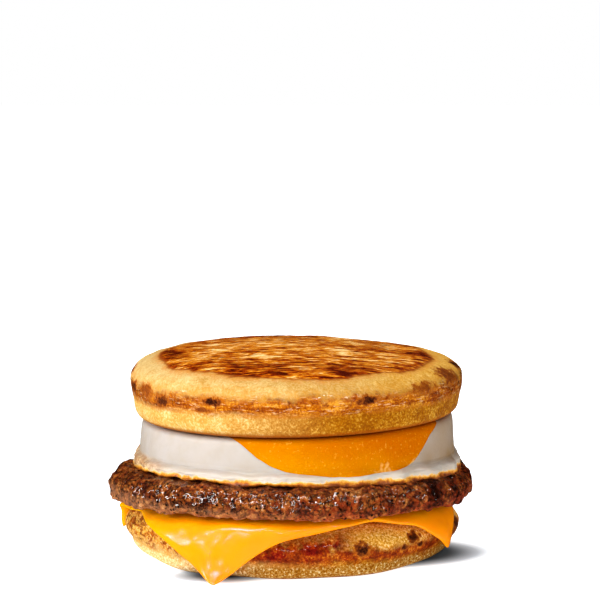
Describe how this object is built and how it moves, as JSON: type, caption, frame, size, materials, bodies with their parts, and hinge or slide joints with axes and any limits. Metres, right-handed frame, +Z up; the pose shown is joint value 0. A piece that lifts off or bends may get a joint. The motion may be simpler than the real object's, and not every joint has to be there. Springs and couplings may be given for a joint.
{
  "type": "breakfast sandwich",
  "caption": "Breakfast sandwich: a round cooked egg with its yolk showing, a meat patty and a draped cheese slice between thick round griddle cakes.",
  "frame": {"origin": "on the surface that it stands on, under the middle of its bounding box", "axes": "+Z up through the layers, -Y towards the side that shows the yolk, +X to that side's right"},
  "size_m": [0.103, 0.1052, 0.0572],
  "materials": {
    "griddle_cake": "soft griddled batter, pale gold with browned and burnt patches and a slight glaze on the browned band",
    "cheese": "smooth, softly shining processed cheese",
    "meat": "craggy browned minced meat, wet with fat",
    "egg_white": "smooth cooked egg white with a browned, crisp lower rim",
    "egg_yolk": "set, finely grained egg yolk"
  },
  "bodies": {
    "root": {"bottom_griddle_cake": "griddle_cake", "cheese_slice": "cheese", "meat_patty": "meat", "egg_white": "egg_white", "egg_yolk": "egg_yolk", "top_griddle_cake": "griddle_cake"}
  },
  "joints": []
}
